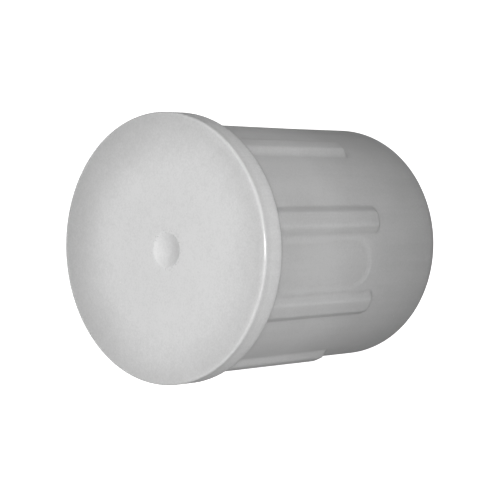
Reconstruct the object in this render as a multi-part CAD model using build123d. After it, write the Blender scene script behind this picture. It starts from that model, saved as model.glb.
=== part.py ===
from build123d import *
import os

# Push-in pneumatic muffler with a pull-out felt cartridge.
# Millimetres. +Z is the axis: the inlet end stands on z = 0 and the closed cap is on top.

# Overall
overall_length = 29.75
flange_radius = 13.0
flange_thickness = 2.45
flange_front_round = 0.3
flange_back_round = 0.15
shell_top = overall_length - flange_thickness

# Shell: a cup with an inlet hole in its end wall. Its lower part is a parallel spigot. Above that a
# ribbed barrel widens a little, as mould draft, up to a rim with exhaust slots.
spigot_radius = 11.85
barrel_top_radius = 11.95
wall = 1.15
bore_radius = spigot_radius - wall
end_wall = 1.6
end_round = 2.2
inlet_radius = 5.0
inlet_round = 0.4
rim_chamfer = 0.2

# Two opposite groups of four ribs, with a blank shallow recess at the middle of one group
recess_angle = -100.0
group_angles = (recess_angle, recess_angle + 180)
ribs_per_group = 4
rib_pitch = 41.0
rib_width = 2.4
rib_tip_radius = 12.45
rib_bottom = 10.7
rib_ramp = 0.5
rib_corner = 0.8
rib_edge_round = 0.3
rib_root_radius = spigot_radius - 0.5

slot_height = 1.0
slot_angle = 25.0

recess_width = 5.2
recess_bottom = 12.0
recess_slope_start = 24.0
recess_top = 26.1
recess_depth = 0.12
recess_corner = 2.4

# Cap: gate dimple in front, a little off centre towards the recess. Locating legs and the core
# tube's socket behind.
gate_radius = 1.7
gate_depth = 0.5
gate_offset = 0.8
leg_clearance = 0.05
leg_thickness = 1.15
leg_angle = 14.0
leg_length = 4.0
leg_chamfer = 0.4
socket_depth = 0.7
boss_radius = 6.2

# Core tube and the stack on it, from the cap down
core_radius = 4.0
core_wall = 0.6
core_clearance = 0.05
core_bottom = 7.2
core_hole_radius = 0.8
core_holes_per_row = 8

spring_height = 1.0
spring_thickness = 0.35
spring_inner_radius = 4.3
spring_outer_radius = 7.2

washer_radius = 9.2
washer_thickness = 0.6

pack_bottom = 12.0
felt_count = 6
felt_pitch = 2.0
felt_gap = 0.05
felt_radius = 8.5

gauze_inner_radius = 8.6
gauze_thickness = 0.3

# Seal carrier, its ring seal and the push-on clip that holds the stack
carrier_radius = 10.6
carrier_height = 3.0
carrier_edge = 0.3
seal_section_radius = 0.6
seal_outer_radius = 10.66
groove_width = 1.5
groove_side_clearance = 0.02
clip_thickness = 0.4
clip_radius = 6.4
clip_band = 1.1
clip_teeth = 8
clip_tooth_width = 1.3

# Heights that follow from the sizes above
pack_top = pack_bottom + felt_count * felt_pitch
upper_washer_top = pack_top + washer_thickness
boss_bottom = upper_washer_top + spring_height
carrier_top = pack_bottom - washer_thickness
carrier_bottom = carrier_top - carrier_height
clip_bottom = carrier_bottom - clip_thickness
core_top = shell_top + socket_depth - core_clearance


def disc(radius, low, high):
    """Solid disc about Z between two heights."""
    return Pos(0, 0, low) * extrude(Circle(radius), high - low)


def ring(inner, outer, low, high):
    """Flat ring about Z between two heights."""
    return Pos(0, 0, low) * extrude(Circle(outer) - Circle(inner), high - low)


def turned(*points):
    """Full turn about Z of an outline of (radius, height) points."""
    outline = make_face(Polyline(*points, close=True))
    return revolve(Plane.XZ * outline, Axis.Z)


def sector(inner, outer, low, high, centre_angle, width_angle):
    """Part of a ring, as wide as width_angle and centred on centre_angle."""
    outline = make_face(Polyline((inner, low), (outer, low), (outer, high), (inner, high), close=True))
    piece = revolve(Plane.XZ * outline, Axis.Z, width_angle)
    return Rot(0, 0, centre_angle - width_angle / 2) * piece


def circles(shape):
    """The shape's circular edges, lowest first."""
    return shape.edges().filter_by(GeomType.CIRCLE).sort_by(Axis.Z)


def rib_angles():
    middle = (ribs_per_group - 1) / 2
    return [
        group + (index - middle) * rib_pitch
        for group in group_angles
        for index in range(ribs_per_group)
    ]


def slot_angles():
    """Midway between neighbouring ribs, in each group and between the groups."""
    inside = ribs_per_group // 2 - 1
    within = [
        group + index * rib_pitch
        for group in group_angles
        for index in range(-inside, inside + 1)
    ]
    return within + [group + 90 for group in group_angles]


def barrel_radius(height):
    """Outer radius of the barrel between its ribs, which grows steadily above the spigot."""
    rise = (height - rib_bottom) / (shell_top - rib_bottom)
    return spigot_radius + (barrel_top_radius - spigot_radius) * rise


def rib():
    """One rib on the +X side: rounded corners in plan, a ramp at its lower end, rounded long edges."""
    middle = (rib_bottom + shell_top) / 2
    plan = Pos(0, middle) * Rectangle(rib_width, shell_top - rib_bottom)
    plan = fillet(plan.vertices().group_by(Axis.Y)[0], rib_corner)
    block = extrude(Plane.YZ.offset(rib_root_radius) * plan, rib_tip_radius)
    envelope = turned(
        (rib_root_radius, rib_bottom),
        (spigot_radius, rib_bottom),
        (rib_tip_radius, rib_bottom + rib_ramp),
        (rib_tip_radius, shell_top),
        (rib_root_radius, shell_top),
    )
    piece = block & envelope
    long_edges = piece.edges().filter_by(Axis.Z).group_by(Axis.X)[-1]
    return fillet(long_edges, rib_edge_round)


def marking_recess():
    """Cutter for the recess, on the +X side: round at its lower end, sloping out to the surface above."""
    middle = (recess_bottom + recess_top) / 2
    plan = Pos(0, middle) * Rectangle(recess_width, recess_top - recess_bottom)
    plan = fillet(plan.vertices().group_by(Axis.Y)[0], recess_corner)
    block = extrude(Plane.YZ.offset(rib_root_radius - 1) * plan, rib_tip_radius)
    envelope = turned(
        (rib_tip_radius, recess_bottom),
        (barrel_radius(recess_bottom) - recess_depth, recess_bottom),
        (barrel_radius(recess_slope_start) - recess_depth, recess_slope_start),
        (barrel_radius(recess_top), recess_top),
        (rib_tip_radius, recess_top),
    )
    return block & envelope


def ribbed_shell():
    spigot = disc(spigot_radius, 0, rib_bottom)
    barrel = turned(
        (0, rib_bottom), (spigot_radius, rib_bottom), (barrel_top_radius, shell_top), (0, shell_top)
    )
    outside = fillet(circles(spigot)[0], end_round) + barrel
    cavity = disc(bore_radius, end_wall, shell_top + 1)
    cavity = fillet(circles(cavity)[0], end_round - wall)
    shell = outside - cavity - disc(inlet_radius, -1, end_wall + 1)
    inlet_edges = [edge for edge in circles(shell) if abs(edge.radius - inlet_radius) < 0.01]
    shell = fillet(inlet_edges, inlet_round)
    for angle in rib_angles():
        shell += Rot(0, 0, angle) * rib()
    shell -= Rot(0, 0, recess_angle) * marking_recess()
    for angle in slot_angles():
        shell -= sector(
            bore_radius - 1, rib_tip_radius + 1,
            shell_top - slot_height, shell_top + 1,
            angle, slot_angle,
        )
    lead_in = turned(
        (bore_radius - 1, shell_top + 1),
        (bore_radius - 1, shell_top - rim_chamfer - 1),
        (bore_radius, shell_top - rim_chamfer),
        (bore_radius + rim_chamfer + 1, shell_top + 1),
    )
    return shell - lead_in


def cap_leg(angle):
    """Leg that centres the cap in the shell's bore, with a lead-in at its tip."""
    outer = bore_radius - leg_clearance
    inner = outer - leg_thickness
    low = shell_top - leg_length
    outline = make_face(Polyline(
        (inner, low), (outer - leg_chamfer, low), (outer, low + leg_chamfer),
        (outer, shell_top + 0.1), (inner, shell_top + 0.1), close=True,
    ))
    leg = revolve(Plane.XZ * outline, Axis.Z, leg_angle)
    return Rot(0, 0, angle - leg_angle / 2) * leg


def end_cap():
    cap = disc(flange_radius, shell_top, overall_length)
    cap = fillet(circles(cap)[-1], flange_front_round)
    cap = fillet(circles(cap)[0], flange_back_round)
    cap += ring(core_radius, boss_radius, boss_bottom, shell_top)
    for angle in rib_angles():
        cap += cap_leg(angle)
    cap -= disc(core_radius, shell_top - 1, shell_top + socket_depth)
    dish_radius = (gate_radius ** 2 + gate_depth ** 2) / (2 * gate_depth)
    dish = Pos(gate_offset, 0, overall_length - gate_depth + dish_radius) * Sphere(dish_radius)
    return cap - Rot(0, 0, recess_angle) * dish


def core_tube():
    tube = ring(core_radius - core_wall, core_radius, core_bottom, core_top)
    for row in range(felt_count):
        height = pack_bottom + (row + 0.5) * felt_pitch
        turn = (row % 2) * 180 / core_holes_per_row
        for hole in range(core_holes_per_row // 2):
            angle = turn + hole * 360 / core_holes_per_row
            drill = Cylinder(core_hole_radius, 4 * core_radius, rotation=(0, 90, 0))
            tube -= Rot(0, 0, angle) * Pos(0, 0, height) * drill
    return tube


def disc_spring():
    """Dished spring washer: its inner edge bears on the cap's boss, its outer edge on the upper washer."""
    return turned(
        (spring_inner_radius, boss_bottom - spring_thickness),
        (spring_outer_radius, upper_washer_top),
        (spring_outer_radius, upper_washer_top + spring_thickness),
        (spring_inner_radius, boss_bottom),
    )


def felt_ring(index):
    low = pack_bottom + index * felt_pitch
    return ring(core_radius + core_clearance, felt_radius, low + felt_gap, low + felt_pitch)


def washer(low):
    return ring(core_radius + core_clearance, washer_radius, low, low + washer_thickness)


def gauze_sleeve():
    return ring(
        gauze_inner_radius, gauze_inner_radius + gauze_thickness,
        pack_bottom + felt_gap, pack_top - felt_gap,
    )


def seal_carrier():
    middle = (carrier_bottom + carrier_top) / 2
    groove_floor = seal_outer_radius - 2 * seal_section_radius - groove_side_clearance
    carrier = ring(core_radius + core_clearance, carrier_radius, carrier_bottom, carrier_top)
    rims = [edge for edge in circles(carrier) if abs(edge.radius - carrier_radius) < 0.01]
    carrier = chamfer(rims, carrier_edge)
    return carrier - ring(
        groove_floor, carrier_radius + 1, middle - groove_width / 2, middle + groove_width / 2
    )


def pack_seal():
    middle = (carrier_bottom + carrier_top) / 2
    return Pos(0, 0, middle) * Torus(seal_outer_radius - seal_section_radius, seal_section_radius)


def push_on_clip():
    """Spring steel ring whose teeth bite the core tube's lower end."""
    clip = ring(clip_radius - clip_band, clip_radius, clip_bottom, carrier_bottom)
    reach = clip_radius - clip_band / 2 - core_radius
    for index in range(clip_teeth):
        tooth = Pos(core_radius + reach / 2, 0, clip_bottom + clip_thickness / 2)
        tooth *= Box(reach, clip_tooth_width, clip_thickness)
        clip += Rot(0, 0, index * 360 / clip_teeth) * tooth
    return clip - disc(core_radius, clip_bottom - 1, carrier_bottom + 1)


pieces = {
    "ribbed_shell": ribbed_shell(),
    "end_cap": end_cap(),
    "core_tube": core_tube(),
    "disc_spring": disc_spring(),
    "upper_washer": washer(pack_top),
    "gauze_sleeve": gauze_sleeve(),
    "lower_washer": washer(carrier_top),
    "seal_carrier": seal_carrier(),
    "pack_seal": pack_seal(),
    "push_on_clip": push_on_clip(),
}
for index in range(felt_count):
    pieces[f"felt_ring_{index + 1}"] = felt_ring(index)

os.makedirs("parts", exist_ok=True)
for name, shape in pieces.items():
    export_step(shape, f"parts/{name}.step")
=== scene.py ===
import math
import random

import bmesh
import bpy
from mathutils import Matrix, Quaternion, Vector


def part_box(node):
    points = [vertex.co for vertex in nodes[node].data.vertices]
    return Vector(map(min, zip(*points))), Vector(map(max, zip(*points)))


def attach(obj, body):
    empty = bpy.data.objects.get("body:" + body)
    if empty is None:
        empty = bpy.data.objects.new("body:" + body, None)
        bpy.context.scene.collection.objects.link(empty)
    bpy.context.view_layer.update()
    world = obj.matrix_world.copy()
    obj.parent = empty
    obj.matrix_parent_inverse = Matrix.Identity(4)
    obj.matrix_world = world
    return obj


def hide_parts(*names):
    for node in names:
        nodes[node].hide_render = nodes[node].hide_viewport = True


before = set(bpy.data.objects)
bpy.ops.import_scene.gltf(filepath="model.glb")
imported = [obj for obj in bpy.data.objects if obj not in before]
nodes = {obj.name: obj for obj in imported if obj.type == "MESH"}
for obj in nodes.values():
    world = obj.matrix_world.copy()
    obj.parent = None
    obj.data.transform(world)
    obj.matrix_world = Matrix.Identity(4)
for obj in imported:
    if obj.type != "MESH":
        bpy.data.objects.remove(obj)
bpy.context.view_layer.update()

MM = 0.001
random.seed(11)

# ---------------------------------------------------------------- sizes in millimetres
# Heights and radii come from the frame. The rest repeats the design, apart from front_round.


def low_of(node):
    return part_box(node)[0].z / MM


def high_of(node):
    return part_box(node)[1].z / MM


def radius_of(node):
    low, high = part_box(node)
    return max(high.x, -low.x, high.y, -low.y) / MM


overall_length = high_of("end_cap")
shell_top = high_of("ribbed_shell")
flange_radius = radius_of("end_cap")

spigot_radius = 11.85
barrel_top_radius = 11.95
bore_radius = 10.7
end_wall = 1.6
end_round = 2.2
inlet_radius = 5.0
inlet_round = 0.4

recess_angle = -100.0
group_angles = (recess_angle, recess_angle + 180)
ribs_per_group = 4
rib_pitch = 41.0
rib_width = 2.4
rib_tip_radius = 12.45
rib_bottom = 10.7
rib_ramp = 0.5
rib_corner = 0.8

recess_width = 5.2
recess_bottom = 12.0
recess_slope_start = 24.0
recess_top = 26.1
recess_depth = 0.12
recess_corner = 2.4

slot_height = 1.0
slot_angle = 25.0

gate_radius = 1.7
gate_depth = 0.5
gate_offset = 0.8
gate_ring_radius = 2.2
gate_ring_reach = 7.0
# Tighter than the design's 0.3, so that the highlight along it stays narrow
front_round = 0.22
back_round = 0.15
boss_radius = 6.2
boss_bottom = 25.6
core_radius = 4.0
socket_depth = 0.7
socket_floor = shell_top + socket_depth

leg_clearance = 0.05
leg_thickness = 1.15
leg_length = 4.0
leg_lead_in = 0.4
leg_half_angle = 7.0
leg_root = 0.3

# Where a moulded edge starts and ends, measured outwards from its outline
rib_flank = (-0.7, 0.25)
recess_flank = (-0.7, 0.1)
slot_flank = (-0.12, 0.06)

# Columns of the shell's mesh: distances across a rib from its middle, and across a slot's edge
rib_marks = (
    0, 0.3, 0.45, 0.55, 0.65, 0.75, 0.84, 0.93,
    1.02, 1.1, 1.18, 1.26, 1.34, 1.44, 1.56, 1.7,
)
slot_marks = (-0.25, -0.12, -0.07, -0.03, 0.01, 0.06, 0.15)
recess_mark_spacing = 0.11
# Above this height the rows are squeezed together under a slot, so every column has as many rows
squeeze_from = shell_top - 1.6
inner_wall_rows = 16
column_spacing = 1.6
cap_columns = 240
felt_columns = 150
felt_rings = 6

# Points closer together than this are merged into one
sliver = 0.0005

# ---------------------------------------------------------------- tones
# Factors on the plastics' colours. All but gate_ring_tone paint shade: at the edge of the cap's face and on
# its side away from the key lamp, on the cap's side, towards the inlet end and on the rib tops.
face_edge_painted_shade = 0.80
face_side_painted_shade = 0.82
shaded_side_direction = (0.36, 0.93, 0)
cap_side_painted_shade = 0.93
gate_ring_tone = 0.72
# Painted shade towards the inlet end, on the shell and the seal carrier
inlet_end_painted_shade = 0.63
# Painted shade on the rib tops
rib_top_painted_shade = 0.94

# ---------------------------------------------------------------- camera and light
camera_azimuth = 0.4
camera_elevation = 49.6
camera_roll = -92.3
camera_distance = 185.0
camera_lens = 132.0
camera_target = (-0.463, 0.562, 15.98)
lamp_target = (0, 0, 15)

# How much light the surroundings and the floor give the object. The camera sees both as nearly white.
room_glow = 0.38
floor_bounce = 0.30
floor_shine = 0.55
floor_half_size = 3.0


# ---------------------------------------------------------------- small helpers

def smooth(value, start, end):
    """0 before start, 1 after end, with an eased step between them."""
    share = min(max((value - start) / (end - start), 0.0), 1.0)
    return share * share * (3 - 2 * share)


def angle_gap(angle, centre):
    """Signed difference between two angles in degrees, from -180 to 180."""
    return (angle - centre + 180) % 360 - 180


def rounded_box_distance(across, along, half_width, half_length, corner):
    """Signed distance from a point to a rounded rectangle centred on the origin, negative inside."""
    x = abs(across) - half_width + corner
    y = abs(along) - half_length + corner
    outside = math.hypot(max(x, 0), max(y, 0))
    return outside + min(max(x, y), 0) - corner


def rib_angles():
    middle = (ribs_per_group - 1) / 2
    return [
        group + (index - middle) * rib_pitch
        for group in group_angles
        for index in range(ribs_per_group)
    ]


def slot_angles():
    within = [
        group + index * rib_pitch
        for group in group_angles
        for index in (-1, 0, 1)
    ]
    return within + [group + 90 for group in group_angles]


def new_piece(name, vertices, faces, material, body, slot, replaced):
    """Mesh piece from points in millimetres."""
    mesh = bpy.data.meshes.new(name)
    mesh.from_pydata([Vector(v) * MM for v in vertices], [], faces)
    mesh_piece(name, mesh, material, body, replaced)


def mesh_piece(name, mesh, material, body, replaced):
    """Closed piece with clean, outward-facing, smooth-shaded faces, riding on a body."""
    work = bmesh.new()
    work.from_mesh(mesh)
    bmesh.ops.remove_doubles(work, verts=work.verts, dist=sliver * MM)
    bmesh.ops.dissolve_degenerate(work, dist=sliver * MM, edges=work.edges)
    bmesh.ops.recalc_face_normals(work, faces=work.faces)
    work.to_mesh(mesh)
    work.free()
    for polygon in mesh.polygons:
        polygon.use_smooth = True
    mesh.materials.clear()
    mesh.materials.append(material)
    piece = bpy.data.objects.new(name, mesh)
    bpy.context.scene.collection.objects.link(piece)
    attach(piece, body)
    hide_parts(*replaced)


def grid_faces(columns, rows):
    """Quads of a grid that closes round both its columns and its rows."""
    faces = []
    for column in range(columns):
        following = (column + 1) % columns
        for row in range(rows):
            above = (row + 1) % rows
            faces.append((
                column * rows + row,
                following * rows + row,
                following * rows + above,
                column * rows + above,
            ))
    return faces


def arc_points(centre, radius, start, end, steps):
    """Points of an arc in the (radius, height) plane, angles in degrees."""
    points = []
    for step in range(steps + 1):
        angle = math.radians(start + (end - start) * step / steps)
        points.append((centre[0] + radius * math.cos(angle), centre[1] + radius * math.sin(angle)))
    return points


def steps_between(start, end, spacing):
    """Evenly spread values from start up to, but not including, end."""
    count = max(1, math.ceil(abs(end - start) / spacing))
    return [start + (end - start) * step / count for step in range(count)]


# ---------------------------------------------------------------- materials

def new_material(name):
    material = bpy.data.materials.new(name)
    material.use_nodes = True
    tree = material.node_tree
    return material, tree, tree.nodes["Principled BSDF"]


def object_millimetres(tree, stretch=(1, 1, 1)):
    """Object coordinates in millimetres, so that noise scales read as cycles per millimetre."""
    coordinates = tree.nodes.new("ShaderNodeTexCoord")
    mapping = tree.nodes.new("ShaderNodeMapping")
    mapping.inputs["Scale"].default_value = [axis / MM for axis in stretch]
    tree.links.new(coordinates.outputs["Object"], mapping.inputs["Vector"])
    return mapping.outputs["Vector"]


def noise(tree, vector, scale, detail, roughness):
    node = tree.nodes.new("ShaderNodeTexNoise")
    node.inputs["Scale"].default_value = scale
    node.inputs["Detail"].default_value = detail
    node.inputs["Roughness"].default_value = roughness
    tree.links.new(vector, node.inputs["Vector"])
    return node.outputs["Fac"]


def mapped(tree, value, low, high, from_low=0.0, from_high=1.0, eased=False):
    node = tree.nodes.new("ShaderNodeMapRange")
    node.interpolation_type = "SMOOTHSTEP" if eased else "LINEAR"
    node.inputs["From Min"].default_value = from_low
    node.inputs["From Max"].default_value = from_high
    node.inputs["To Min"].default_value = low
    node.inputs["To Max"].default_value = high
    tree.links.new(value, node.inputs["Value"])
    return node.outputs["Result"]


def mixed_colour(tree, factor, first, second):
    """Colour between first and second. Inputs 0, 6 and 7 are the factor and the two colours."""
    node = tree.nodes.new("ShaderNodeMix")
    node.data_type = "RGBA"
    node.inputs[6].default_value = (*first, 1)
    node.inputs[7].default_value = (*second, 1)
    tree.links.new(factor, node.inputs[0])
    return node.outputs[2]


def bump(tree, shader, height, distance_mm, strength, before=None):
    node = tree.nodes.new("ShaderNodeBump")
    node.inputs["Distance"].default_value = distance_mm * MM
    node.inputs["Strength"].default_value = strength
    tree.links.new(height, node.inputs["Height"])
    if before is not None:
        tree.links.new(before, node.inputs["Normal"])
    tree.links.new(node.outputs["Normal"], shader.inputs["Normal"])
    return node.outputs["Normal"]


def multiplied(tree, first, second):
    node = tree.nodes.new("ShaderNodeMath")
    node.operation = "MULTIPLY"
    tree.links.new(first, node.inputs[0])
    tree.links.new(second, node.inputs[1])
    return node.outputs[0]


def specks(tree, vector, spacing_mm, radius_mm):
    """1 inside small round marks scattered about spacing_mm apart, 0 elsewhere."""
    node = tree.nodes.new("ShaderNodeTexVoronoi")
    node.inputs["Scale"].default_value = 1 / spacing_mm
    tree.links.new(vector, node.inputs["Vector"])
    edge = radius_mm / spacing_mm
    return mapped(tree, node.outputs["Distance"], 1, 0, edge * 0.6, edge)


def gate_edge_ring(tree, where):
    """Tone with a broken darker ring round the edge of the gate dimple."""
    turn = math.radians(recess_angle)
    away = tree.nodes.new("ShaderNodeVectorMath")
    away.operation = "DISTANCE"
    away.inputs[1].default_value = (
        gate_offset * math.cos(turn), gate_offset * math.sin(turn), overall_length,
    )
    tree.links.new(where, away.inputs[0])
    distance = away.outputs["Value"]
    inside = mapped(tree, distance, 0, 1, gate_radius - 0.15, gate_radius, eased=True)
    outside = mapped(tree, distance, 1, 0, gate_radius + 0.1, gate_radius + 0.35, eased=True)
    crumbs = mapped(tree, noise(tree, where, 4.5, 2.0, 0.6), 0, 1, 0.56, 0.66)
    ring = multiplied(tree, multiplied(tree, inside, outside), crumbs)
    return mapped(tree, ring, 1.0, gate_ring_tone)


def painted_rim_shade(tree):
    """Painted shade: the cap's colour falls towards the edge of its face, more so on the side away from the
    key lamp, and is a little darker on its side and back. Also carries the ring round the gate dimple.
    """
    where = object_millimetres(tree)
    split = tree.nodes.new("ShaderNodeSeparateXYZ")
    tree.links.new(where, split.inputs[0])
    length = tree.nodes.new("ShaderNodeVectorMath")
    length.operation = "LENGTH"
    tree.links.new(object_millimetres(tree, (1, 1, 0)), length.inputs[0])
    radius = length.outputs["Value"]
    lean = tree.nodes.new("ShaderNodeVectorMath")
    lean.operation = "DOT_PRODUCT"
    lean.inputs[1].default_value = shaded_side_direction
    tree.links.new(where, lean.inputs[0])
    front = mapped(tree, split.outputs["Z"], 0, 1, overall_length - 1.0, overall_length - 0.3)
    outer = mapped(tree, radius, 0, 1, 7.0, flange_radius)
    all_round = multiplied(tree, multiplied(tree, outer, outer), front)
    leaning = mapped(tree, lean.outputs["Value"], 0, 1, -3.0, 11.0)
    broad = mapped(tree, radius, 0, 1, 6.0, 10.8, eased=True)
    one_side = multiplied(tree, multiplied(tree, broad, leaning), front)
    edge_tone = mapped(tree, all_round, 1.0, face_edge_painted_shade)
    side_tone = mapped(tree, one_side, 1.0, face_side_painted_shade)
    face_tone = multiplied(tree, edge_tone, side_tone)
    whole = multiplied(tree, face_tone, mapped(tree, front, cap_side_painted_shade, 1.0))
    return multiplied(tree, whole, gate_edge_ring(tree, where))


def painted_depth_shade(tree):
    """Painted shade: the colour darkens towards the inlet end."""
    split = tree.nodes.new("ShaderNodeSeparateXYZ")
    tree.links.new(object_millimetres(tree), split.inputs[0])
    return mapped(tree, split.outputs["Z"], inlet_end_painted_shade, 1.0, 2.0, 19.0)


def painted_barrel_shade(tree):
    """The painted depth shade, with painted shade a little darker on the rib tops."""
    length = tree.nodes.new("ShaderNodeVectorMath")
    length.operation = "LENGTH"
    tree.links.new(object_millimetres(tree, (1, 1, 0)), length.inputs[0])
    rib_top = mapped(tree, length.outputs["Value"], 1.0, rib_top_painted_shade, 12.05, 12.4)
    return multiplied(tree, painted_depth_shade(tree), rib_top)


def moulded_plastic(name, colour, scatter, roughness, tone):
    """Moulded plastic: cloudy colour, fine grain, pale specks, painted shade from its tone, and light
    scattering under the skin.
    """
    material, tree, shader = new_material(name)
    where = object_millimetres(tree)
    grain = noise(tree, where, 5.0, 4.0, 0.65)
    cloud = mapped(tree, noise(tree, where, 0.22, 4.0, 0.6), 0.97, 1.02, 0.3, 0.7)
    drawn_out = object_millimetres(tree, (1, 1, 0.05))
    streaks = mapped(tree, noise(tree, drawn_out, 1.3, 3.0, 0.6), 0.975, 1.02, 0.3, 0.7)
    fine = mapped(tree, grain, 0.93, 1.05, 0.3, 0.7)
    value = multiplied(tree, multiplied(tree, cloud, streaks), multiplied(tree, fine, tone(tree)))
    clean = mixed_colour(tree, value, (0, 0, 0), colour)
    pale = mixed_colour(tree, specks(tree, where, 5.5, 0.11), (0, 0, 0), (0.10, 0.10, 0.10))
    speckled = tree.nodes.new("ShaderNodeMix")
    speckled.data_type = "RGBA"
    speckled.blend_type = "ADD"
    speckled.inputs[0].default_value = 1.0
    tree.links.new(clean, speckled.inputs[6])
    tree.links.new(pale, speckled.inputs[7])
    tree.links.new(speckled.outputs[2], shader.inputs["Base Color"])
    uneven = mapped(tree, grain, roughness - 0.05, roughness + 0.07, 0.3, 0.7)
    tree.links.new(uneven, shader.inputs["Roughness"])
    shader.inputs["IOR"].default_value = 1.5
    shader.inputs["Subsurface Weight"].default_value = 1.0
    shader.inputs["Subsurface Scale"].default_value = scatter * MM
    shader.inputs["Subsurface Radius"].default_value = (1.0, 1.0, 1.0)
    sink = bump(tree, shader, noise(tree, where, 0.16, 2.0, 0.4), 0.2, 0.35)
    bump(tree, shader, noise(tree, where, 3.5, 1.0, 0.5), 0.012, 0.4, before=sink)
    return material


def steel(name, colour, roughness, stretch):
    """Metal with fine drawn or rolled lines and lighter patches."""
    material, tree, shader = new_material(name)
    where = object_millimetres(tree, stretch)
    lines = noise(tree, where, 6.0, 4.0, 0.7)
    spots = noise(tree, object_millimetres(tree), 0.8, 3.0, 0.6)
    darker = [channel * 0.72 for channel in colour]
    tree.links.new(
        mixed_colour(tree, mapped(tree, spots, 0, 1, 0.35, 0.65), darker, colour),
        shader.inputs["Base Color"],
    )
    shader.inputs["Metallic"].default_value = 1.0
    tree.links.new(mapped(tree, lines, roughness - 0.08, roughness + 0.12), shader.inputs["Roughness"])
    bump(tree, shader, lines, 0.01, 0.5)
    return material


def wool_felt():
    """Pale tangle of fibres with a soft sheen."""
    material, tree, shader = new_material("wool_felt")
    where = object_millimetres(tree)
    tangle = noise(tree, where, 3.2, 6.0, 0.75)
    tree.links.new(
        mixed_colour(tree, mapped(tree, tangle, 0, 1, 0.3, 0.7), (0.46, 0.43, 0.37), (0.80, 0.77, 0.70)),
        shader.inputs["Base Color"],
    )
    shader.inputs["Roughness"].default_value = 0.95
    shader.inputs["Sheen Weight"].default_value = 0.5
    shader.inputs["Sheen Roughness"].default_value = 0.5
    bump(tree, shader, tangle, 0.25, 0.8)
    return material


def black_rubber():
    """Dark rubber with a little dust."""
    material, tree, shader = new_material("black_rubber")
    where = object_millimetres(tree)
    dust = noise(tree, where, 2.5, 5.0, 0.7)
    tree.links.new(
        mixed_colour(tree, mapped(tree, dust, 0, 1, 0.5, 0.8), (0.012, 0.012, 0.013), (0.05, 0.05, 0.05)),
        shader.inputs["Base Color"],
    )
    tree.links.new(mapped(tree, dust, 0.32, 0.55), shader.inputs["Roughness"])
    bump(tree, shader, dust, 0.01, 0.4)
    return material


# Each plastic's tone function paints shade into its colour
cap_plastic = moulded_plastic("cap_plastic", (0.70, 0.70, 0.70), 1.4, 0.16, painted_rim_shade)
shell_plastic = moulded_plastic("shell_plastic", (0.52, 0.52, 0.52), 1.8, 0.46, painted_barrel_shade)
carrier_plastic = moulded_plastic("carrier_plastic", (0.66, 0.66, 0.66), 1.0, 0.38, painted_depth_shade)
felt = wool_felt()
tube_steel = steel("tube_steel", (0.60, 0.60, 0.60), 0.34, (1, 1, 0.08))
washer_steel = steel("washer_steel", (0.62, 0.62, 0.61), 0.36, (1, 1, 1))
spring_steel = steel("spring_steel", (0.36, 0.36, 0.38), 0.42, (1, 1, 1))
gauze_steel = steel("gauze_steel", (0.68, 0.68, 0.66), 0.30, (1, 1, 1))
rubber = black_rubber()


# ---------------------------------------------------------------- shell

def barrel_radius(height):
    rise = min(max((height - rib_bottom) / (shell_top - rib_bottom), 0.0), 1.0)
    return spigot_radius + (barrel_top_radius - spigot_radius) * rise


def rib_height(angle, height, base):
    """Height of the nearest rib above a barrel of radius base, with soft long edges and a ramped end."""
    nearest = min((abs(angle_gap(angle, rib)), rib) for rib in rib_angles())[1]
    across = math.radians(angle_gap(angle, nearest)) * base
    half_length = shell_top - rib_bottom
    distance = rounded_box_distance(across, height - shell_top, rib_width / 2, half_length, rib_corner)
    ramp = smooth(height, rib_bottom - 0.08, rib_bottom + rib_ramp)
    return (rib_tip_radius - base) * min(1 - smooth(distance, *rib_flank), ramp)


def recess_sink(angle, height, base):
    """Depth of the blank recess, whose floor slopes out to the surface near the cap."""
    across = math.radians(angle_gap(angle, recess_angle)) * base
    half_length = recess_top + recess_corner - recess_bottom
    distance = rounded_box_distance(
        across, height - recess_bottom - half_length, recess_width / 2, half_length, recess_corner
    )
    slope = (height - recess_slope_start) / (recess_top - recess_slope_start)
    depth = recess_depth * (1 - min(max(slope, 0.0), 1.0))
    return depth * (1 - smooth(distance, *recess_flank))


def outer_radius(angle, height):
    """Radius of the barrel's outside at an angle in degrees and a height in millimetres."""
    base = barrel_radius(height)
    return base + rib_height(angle, height, base) - recess_sink(angle, height, base)


def rim_height(angle):
    """Height of the shell's rim, which drops at each exhaust slot."""
    nearest = min(abs(angle_gap(angle, slot)) for slot in slot_angles())
    outside = math.radians(nearest - slot_angle / 2) * spigot_radius
    return shell_top - slot_height * (1 - smooth(outside, *slot_flank))


def shell_columns():
    """Angles in degrees, close together where ribs, the recess and the slots have edges."""
    marks = set()
    for rib in rib_angles():
        for across in rib_marks:
            for side in (-1, 1):
                marks.add(round((rib + side * math.degrees(across / spigot_radius)) % 360, 3))
    for step in range(24):
        across = recess_width / 2 + 0.15 - step * recess_mark_spacing
        for side in (-1, 1):
            marks.add(round((recess_angle + side * math.degrees(across / spigot_radius)) % 360, 3))
    for slot in slot_angles():
        for across in slot_marks:
            for side in (-1, 1):
                edge = slot_angle / 2 + math.degrees(across / spigot_radius)
                marks.add(round((slot + side * edge) % 360, 3))
    marks = sorted(marks)
    columns = []
    for mark, following in zip(marks, marks[1:] + [marks[0] + 360]):
        columns += steps_between(mark, following, column_spacing)
    return columns


def shell_barrel_heights():
    return (
        steps_between(end_round, rib_bottom - 0.3, 0.9)
        + steps_between(rib_bottom - 0.3, recess_bottom + recess_corner, 0.09)
        + steps_between(recess_bottom + recess_corner, recess_slope_start, 0.9)
        + steps_between(recess_slope_start, squeeze_from, 0.35)
    )


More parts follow.
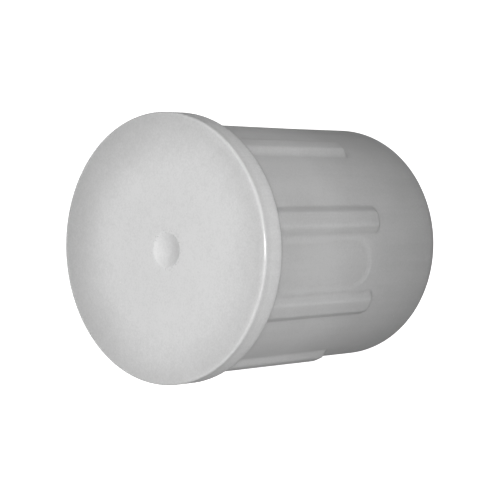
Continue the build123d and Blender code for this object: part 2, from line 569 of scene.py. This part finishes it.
def shell_section(angle):
    """Closed outline of the wall at one angle, as (radius, height) points, as many at every angle."""
    rim = rim_height(angle)
    points = []
    points += arc_points((inlet_radius + inlet_round, inlet_round), inlet_round, 180, 270, 5)
    points += [(radius, 0.0) for radius in steps_between(6.2, spigot_radius - end_round, 1.2)]
    points += arc_points((spigot_radius - end_round, end_round), end_round, -90, -4, 14)
    points += [(outer_radius(angle, height), height) for height in shell_barrel_heights()]
    for share in (0.0, 0.3, 0.6, 0.85, 0.95):
        height = squeeze_from + (rim - squeeze_from) * share
        points.append((outer_radius(angle, height), height))
    outer = outer_radius(angle, rim)
    points += [(outer - 0.01, rim - 0.03), (outer - 0.04, rim), ((outer + bore_radius) / 2, rim)]
    points += [(bore_radius + 0.2, rim), (bore_radius + 0.13, rim - 0.02), (bore_radius, rim - 0.2)]
    inner_round = end_round - (spigot_radius - bore_radius)
    wall_top = rim - 0.6
    wall_drop = wall_top - end_wall - inner_round
    points += [
        (bore_radius, wall_top - wall_drop * step / inner_wall_rows)
        for step in range(inner_wall_rows)
    ]
    centre = (bore_radius - inner_round, end_wall + inner_round)
    points += arc_points(centre, inner_round, 0, -90, 7)
    points += [(radius, end_wall) for radius in steps_between(9.0, inlet_radius + inlet_round, 1.2)]
    points += arc_points((inlet_radius + inlet_round, end_wall - inlet_round), inlet_round, 90, 180, 5)
    return points


def make_shell():
    columns = shell_columns()
    sections = [shell_section(angle) for angle in columns]
    vertices = []
    for angle, section in zip(columns, sections):
        turn = math.radians(angle)
        vertices += [(r * math.cos(turn), r * math.sin(turn), z) for r, z in section]
    faces = grid_faces(len(columns), len(sections[0]))
    new_piece(
        "shell_moulding", vertices, faces, shell_plastic, "shell", "shell_plastic", ["ribbed_shell"],
    )


# ---------------------------------------------------------------- cap

def ring_centre(radius, height):
    """Centre of one ring of the cap: rings near the dimple follow it, all others stay on the axis."""
    on_face = height > overall_length - gate_depth - 0.01
    offset = gate_offset * (1 - smooth(radius, gate_ring_radius, gate_ring_reach)) if on_face else 0.0
    turn = math.radians(recess_angle)
    return Vector((offset * math.cos(turn), offset * math.sin(turn), height))


def turned_mesh(name, section):
    """Closed solid turned about the axis. The section runs from the axis back to the axis."""
    mesh = bpy.data.meshes.new(name)
    work = bmesh.new()
    rings = []
    for radius, height in section:
        centre = ring_centre(radius, height)
        if radius == 0:
            rings.append([work.verts.new(centre * MM)])
            continue
        ring = []
        for column in range(cap_columns):
            turn = 2 * math.pi * column / cap_columns
            around = Vector((radius * math.cos(turn), radius * math.sin(turn), 0))
            ring.append(work.verts.new((centre + around) * MM))
        rings.append(ring)
    for lower, upper in zip(rings, rings[1:]):
        for column in range(cap_columns):
            following = (column + 1) % cap_columns
            if len(lower) == 1:
                work.faces.new((lower[0], upper[following], upper[column]))
            elif len(upper) == 1:
                work.faces.new((lower[column], lower[following], upper[0]))
            else:
                work.faces.new((lower[column], lower[following], upper[following], upper[column]))
    bmesh.ops.recalc_face_normals(work, faces=work.faces)
    work.to_mesh(mesh)
    work.free()
    return mesh


def make_cap():
    """Disc with a gate dimple; socket boss and locating legs behind."""
    face = overall_length
    section = [(0.0, face - gate_depth)]
    for step in range(1, 15):
        radius = gate_radius * step / 14
        section.append((radius, face - gate_depth * (1 - (radius / gate_radius) ** 2)))
    section += [(gate_radius + 0.05, face - 0.003), (gate_radius + 0.15, face)]
    face_edge = flange_radius - front_round
    section += [(radius, face) for radius in steps_between(gate_ring_radius, face_edge, 0.9)]
    section += arc_points((face_edge, face - front_round), front_round, 90, 0, 10)
    section += [(flange_radius, height) for height in steps_between(face - 0.6, shell_top + 0.3, 0.3)]
    section += arc_points((flange_radius - back_round, shell_top + back_round), back_round, 0, -90, 5)
    section += [(radius, shell_top) for radius in steps_between(12.4, boss_radius + 0.2, 0.8)]
    section += [
        (boss_radius, shell_top - 0.15), (boss_radius, boss_bottom + 0.1), (boss_radius - 0.1, boss_bottom),
        (core_radius + 0.15, boss_bottom), (core_radius, boss_bottom + 0.15), (core_radius, socket_floor),
    ]
    section += [(2.0, socket_floor), (0.0, socket_floor)]
    body = bpy.data.objects.new("cap_body", turned_mesh("cap_body", section))
    bpy.context.scene.collection.objects.link(body)
    legs = bpy.data.objects.new("cap_legs", cap_legs_mesh())
    bpy.context.scene.collection.objects.link(legs)
    union = body.modifiers.new("union", "BOOLEAN")
    union.operation = "UNION"
    union.solver = "EXACT"
    union.object = legs
    mesh = bpy.data.meshes.new_from_object(body.evaluated_get(bpy.context.evaluated_depsgraph_get()))
    bpy.data.objects.remove(body)
    bpy.data.objects.remove(legs)
    mesh_piece("cap_moulding", mesh, cap_plastic, "cartridge", ["end_cap"])


def cap_legs_mesh():
    """The eight legs that centre the cap in the shell's bore, each a curved block with soft edges."""
    outer = bore_radius - leg_clearance
    inner = outer - leg_thickness
    low = shell_top - leg_length
    high = shell_top + leg_root
    edge = 0.1
    section = [
        (inner + edge, low), (outer - leg_lead_in, low), (outer, low + leg_lead_in),
        (outer, high), (inner, high), (inner, low + edge),
    ]
    soft = math.degrees(edge / outer)
    work = bmesh.new()
    for leg in rib_angles():
        rings = []
        turns = [(-leg_half_angle, edge), (-leg_half_angle + soft, 0)]
        turns += [(turn, 0) for turn in steps_between(-leg_half_angle + 1.5, leg_half_angle - soft, 1.5)]
        turns += [(leg_half_angle - soft, 0), (leg_half_angle, edge)]
        for turn, shrink in turns:
            angle = math.radians(leg + turn)
            middle = (inner + outer) / 2
            ring = []
            for radius, height in section:
                radius += math.copysign(shrink, middle - radius)
                height += shrink if height < low + 1 else 0
                place = Vector((radius * math.cos(angle), radius * math.sin(angle), height))
                ring.append(work.verts.new(place * MM))
            rings.append(ring)
        for first, second in zip(rings, rings[1:]):
            for index in range(len(section)):
                following = (index + 1) % len(section)
                work.faces.new((first[index], first[following], second[following], second[index]))
        work.faces.new(rings[0])
        work.faces.new(rings[-1])
    bmesh.ops.recalc_face_normals(work, faces=work.faces)
    mesh = bpy.data.meshes.new("cap_legs")
    work.to_mesh(mesh)
    work.free()
    return mesh


# ---------------------------------------------------------------- felt and gauze

def tube_along(points, radius, sides, closed):
    """Vertices and quads of a thin round tube along points; open tubes have flat caps."""
    vertices = []
    count = len(points)
    for index, point in enumerate(points):
        if closed:
            ahead = points[(index + 1) % count] - points[index - 1]
        else:
            ahead = points[min(index + 1, count - 1)] - points[max(index - 1, 0)]
        ahead.normalize()
        outward = Vector((point.x, point.y, 0)).normalized()
        side = ahead.cross(outward).normalized()
        lift = side.cross(ahead)
        for step in range(sides):
            turn = 2 * math.pi * step / sides
            vertices.append(point + (side * math.cos(turn) + lift * math.sin(turn)) * radius)
    faces = []
    for index in range(count if closed else count - 1):
        following = (index + 1) % count
        for step in range(sides):
            beside = (step + 1) % sides
            faces.append((
                index * sides + step, index * sides + beside,
                following * sides + beside, following * sides + step,
            ))
    if not closed:
        faces.append(tuple(reversed(range(sides))))
        faces.append(tuple(range((count - 1) * sides, count * sides)))
    return vertices, faces


def add_part(whole, part):
    """Adds the vertices and faces of part to whole."""
    start = len(whole[0])
    whole[0].extend(part[0])
    whole[1].extend(tuple(start + corner for corner in face) for face in part[1])


def make_gauze():
    """Plain weave: upright wires pass in and out of rings of wire."""
    low = low_of("gauze_sleeve")
    high = high_of("gauze_sleeve")
    inset = 0.15
    middle = radius_of("gauze_sleeve") - inset
    wire = 0.085
    swing = 0.075
    uprights = 80
    rings = 17
    pitch = (high - low - 2 * inset) / (rings - 1)
    whole = ([], [])
    for upright in range(uprights):
        turn = 2 * math.pi * upright / uprights
        points = []
        for step in range(4 * (rings - 1) + 1):
            height = low + inset + pitch * step / 4
            radius = middle + swing * math.cos(math.pi * (step / 4 + upright))
            points.append(Vector((radius * math.cos(turn), radius * math.sin(turn), height)))
        add_part(whole, tube_along(points, wire, 5, closed=False))
    for ring in range(rings):
        points = []
        for step in range(4 * uprights):
            turn = 2 * math.pi * step / (4 * uprights)
            radius = middle - swing * math.cos(math.pi * (step / 4 + ring))
            height = low + inset + pitch * ring
            points.append(Vector((radius * math.cos(turn), radius * math.sin(turn), height)))
        add_part(whole, tube_along(points, wire, 5, closed=True))
    new_piece("gauze_weave", *whole, gauze_steel, "cartridge", "gauze_wire", ["gauze_sleeve"])


def make_felt(index):
    """Felt ring with a wavy, pressed edge and loose fibres on its outside."""
    node = f"felt_ring_{index}"
    low = low_of(node)
    high = high_of(node)
    outer = radius_of(node)
    inner = 4.05
    loose_fibres = 90
    section = [(inner, low + 0.3), (inner, high - 0.3)]
    section += arc_points((inner + 0.3, high - 0.3), 0.3, 180, 90, 3)
    section += [(radius, high) for radius in steps_between(4.9, outer - 0.5, 0.5)]
    section += arc_points((outer - 0.4, high - 0.4), 0.4, 90, 0, 4)
    section += arc_points((outer - 0.4, low + 0.4), 0.4, 0, -90, 4)
    section += [(radius, low) for radius in steps_between(outer - 0.6, inner + 0.4, 0.5)]
    section += arc_points((inner + 0.3, low + 0.3), 0.3, 270, 190, 3)
    whole = ([], grid_faces(felt_columns, len(section)))
    for column in range(felt_columns):
        turn = 2 * math.pi * column / felt_columns
        for radius, height in section:
            pressed = random.uniform(0.0, 0.09)
            radius += pressed if radius < 6 else -pressed
            height += pressed * 0.6 * (1 if height < (low + high) / 2 else -1)
            whole[0].append(Vector((radius * math.cos(turn), radius * math.sin(turn), height)))
    for _ in range(loose_fibres):
        turn = random.uniform(0, 2 * math.pi)
        height = random.uniform(low + 0.35, high - 0.35)
        drift = random.uniform(-0.25, 0.25)
        length = random.uniform(0.8, 2.2)
        points = []
        for step in range(6):
            angle = turn + length * step / 5 / outer
            radius = outer - 0.035 + 0.02 * math.sin(2 * step + turn)
            rise = min(max(height + drift * math.sin(step * 0.7), low + 0.1), high - 0.1)
            points.append(Vector((radius * math.cos(angle), radius * math.sin(angle), rise)))
        add_part(whole, tube_along(points, 0.018, 4, closed=False))
    new_piece(f"felt_layer_{index}", *whole, felt, "cartridge", "felt", [node])


# ---------------------------------------------------------------- camera, light and floor

def make_camera():
    """Looks down on the cap, rolled so that the axis runs across the picture."""
    azimuth = math.radians(camera_azimuth)
    elevation = math.radians(camera_elevation)
    roll = math.radians(camera_roll)
    back = Vector((
        math.sin(azimuth) * math.cos(elevation),
        -math.cos(azimuth) * math.cos(elevation),
        math.sin(elevation),
    ))
    data = bpy.data.cameras.new("camera")
    data.lens = camera_lens
    data.clip_start = 0.01
    data.clip_end = 20
    camera = bpy.data.objects.new("camera", data)
    bpy.context.scene.collection.objects.link(camera)
    camera.rotation_mode = "QUATERNION"
    camera.rotation_quaternion = (-back).to_track_quat("-Z", "Y") @ Quaternion((0, 0, 1), roll)
    camera.location = (Vector(camera_target) + back * camera_distance) * MM
    bpy.context.scene.camera = camera


def make_light(name, place, width, height, power):
    """Lamp aimed at the middle of the object. Place, width and height are in millimetres."""
    data = bpy.data.lights.new(name, "AREA")
    data.shape = "ELLIPSE"
    data.size = width * MM
    data.size_y = height * MM
    data.energy = power
    lamp = bpy.data.objects.new(name, data)
    bpy.context.scene.collection.objects.link(lamp)
    lamp.location = Vector(place) * MM
    lamp.visible_camera = False
    aim = Vector(lamp_target) * MM - lamp.location
    lamp.rotation_mode = "QUATERNION"
    lamp.rotation_quaternion = aim.to_track_quat("-Z", "Y")
    return lamp


def shade_by_ray(tree, seen, bounced):
    """Shader that the camera sees as one thing and that lights the object as another."""
    path = tree.nodes.new("ShaderNodeLightPath")
    mix = tree.nodes.new("ShaderNodeMixShader")
    tree.links.new(path.outputs["Is Camera Ray"], mix.inputs[0])
    tree.links.new(bounced, mix.inputs[1])
    tree.links.new(seen, mix.inputs[2])
    return mix.outputs[0]


def make_floor():
    """Pale paper to look at, which throws back only as much light as a grey table top."""
    size = floor_half_size
    mesh = bpy.data.meshes.new("floor")
    corners = [(-size, -size, 0), (size, -size, 0), (size, size, 0), (-size, size, 0)]
    mesh.from_pydata(corners, [], [(0, 1, 2, 3)])
    material, tree, shader = new_material("floor_paper")
    fibre = noise(tree, object_millimetres(tree), 0.4, 4.0, 0.6)
    paper = mixed_colour(tree, fibre, (0.93, 0.93, 0.93), (0.96, 0.96, 0.96))
    tree.links.new(paper, shader.inputs["Base Color"])
    shader.inputs["Roughness"].default_value = 0.9
    shader.inputs["Emission Color"].default_value = (1, 1, 1, 1)
    shader.inputs["Emission Strength"].default_value = floor_shine
    table = tree.nodes.new("ShaderNodeBsdfDiffuse")
    table.inputs["Color"].default_value = (floor_bounce, floor_bounce, floor_bounce, 1)
    surface = shade_by_ray(tree, shader.outputs[0], table.outputs[0])
    tree.links.new(surface, tree.nodes["Material Output"].inputs["Surface"])
    mesh.materials.append(material)
    floor = bpy.data.objects.new("floor", mesh)
    bpy.context.scene.collection.objects.link(floor)


def make_world():
    """White surroundings to look at, which light the object less than they would if white."""
    world = bpy.data.worlds.new("studio")
    bpy.context.scene.world = world
    world.use_nodes = True
    tree = world.node_tree
    seen = tree.nodes["Background"]
    seen.inputs["Color"].default_value = (1, 1, 1, 1)
    glow = tree.nodes.new("ShaderNodeBackground")
    glow.inputs["Strength"].default_value = room_glow
    surface = shade_by_ray(tree, seen.outputs[0], glow.outputs[0])
    tree.links.new(surface, tree.nodes["World Output"].inputs["Surface"])


make_camera()
make_world()
make_floor()
make_light("key", place=(0, -395, 485), width=120, height=120, power=3.2)
make_light("glint", place=(0, -165, 215), width=12, height=12, power=0.04)
# A low lamp behind the object, kept out of its reflections
back_fill = make_light("back_fill", place=(0, 450, 15), width=320, height=28, power=1.1)
back_fill.visible_glossy = False

make_shell()
make_cap()
make_gauze()
for felt_index in range(1, felt_rings + 1):
    make_felt(felt_index)

# CAD parts that keep their own shape, each with the material it gets
kept_parts = {
    "core_tube": tube_steel,
    "disc_spring": spring_steel,
    "upper_washer": washer_steel,
    "lower_washer": washer_steel,
    "seal_carrier": carrier_plastic,
    "pack_seal": rubber,
    "push_on_clip": spring_steel,
}
for node, material in kept_parts.items():
    nodes[node].data.materials.clear()
    nodes[node].data.materials.append(material)

bpy.context.scene.view_settings.view_transform = "Standard"
bpy.context.scene.view_settings.look = "None"
